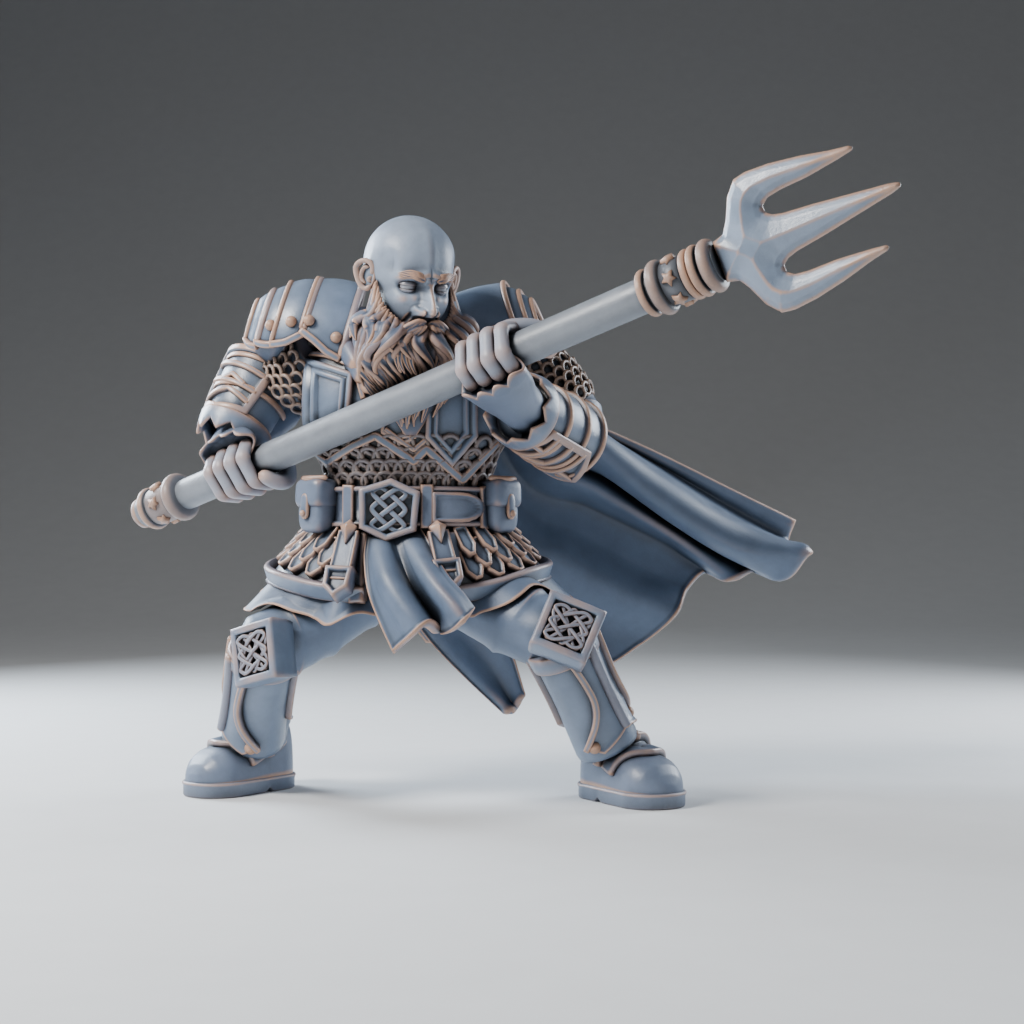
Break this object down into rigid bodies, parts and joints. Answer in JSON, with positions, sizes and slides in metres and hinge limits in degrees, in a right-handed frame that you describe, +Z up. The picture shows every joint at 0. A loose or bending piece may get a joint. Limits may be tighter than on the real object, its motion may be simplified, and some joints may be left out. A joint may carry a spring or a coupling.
{
  "type": "tabletop miniature figure",
  "caption": "Tabletop miniature of a stout, bald, bearded dwarf in plate armour, lunging with a levelled trident, cape blowing to one side.",
  "frame": {"origin": "on the ground plane, under the middle of the figure's whole bounding box (trident and cape included)", "axes": "+X towards the figure's left, where the trident points and the cape blows; -Y forwards, where the figure faces; +Z up"},
  "size_m": [0.0347, 0.0276, 0.0276],
  "materials": {
    "plate_paint": "resin, painted steel-blue grey with copper dry-brushed edges",
    "cloth_paint": "resin, painted matt slate blue",
    "leather_paint": "resin, painted grey leather with copper edges",
    "skin_paint": "resin, painted pale cold skin with a copper wash",
    "hair_paint": "resin, painted copper strands over slate",
    "shaft_paint": "resin, painted plain satin grey",
    "trim_paint": "resin, painted worn copper",
    "pin_wire": "plain wire"
  },
  "bodies": {
    "root": {"torso": "cloth_paint", "hips": "cloth_paint", "right_leg": "cloth_paint", "left_leg": "cloth_paint", "right_boot": "leather_paint", "left_boot": "leather_paint", "right_sole": "leather_paint", "left_sole": "leather_paint", "right_greave": "plate_paint", "left_greave": "plate_paint", "right_knee_plate": "plate_paint", "left_knee_plate": "plate_paint", "right_knee_knot": "plate_paint", "left_knee_knot": "plate_paint", "instep_straps": "plate_paint", "boot_studs": "trim_paint", "underskirt": "cloth_paint", "fauld_scales": "plate_paint", "fauld_trim": "plate_paint", "strap_ends": "leather_paint", "tabard": "cloth_paint", "rear_tabard": "cloth_paint", "belt": "leather_paint", "belt_tongue": "leather_paint", "buckle_frame": "plate_paint", "buckle_knot": "plate_paint", "right_pouch": "leather_paint", "left_pouch": "leather_paint", "mail_apron": "plate_paint", "breastplate": "plate_paint", "chest_panels": "plate_paint", "collar_mantle": "cloth_paint", "right_pauldron_upper": "plate_paint", "right_pauldron_middle": "plate_paint", "right_pauldron_lower": "plate_paint", "left_pauldron_upper": "plate_paint", "left_pauldron_lower": "plate_paint", "pauldron_rivets": "trim_paint", "right_arm": "cloth_paint", "left_arm": "cloth_paint", "right_mail_sleeve": "plate_paint", "left_mail_sleeve": "plate_paint", "right_bracer": "plate_paint", "left_bracer": "plate_paint", "right_glove": "leather_paint", "left_glove": "leather_paint", "right_fingers": "skin_paint", "left_fingers": "skin_paint", "head": "skin_paint", "beard": "hair_paint", "cape": "cloth_paint", "trident_shaft": "shaft_paint", "butt_cap": "trim_paint", "butt_collar": "trim_paint", "head_collar": "trim_paint", "trident_head": "plate_paint", "locating_pins": "pin_wire"}
  },
  "joints": []
}
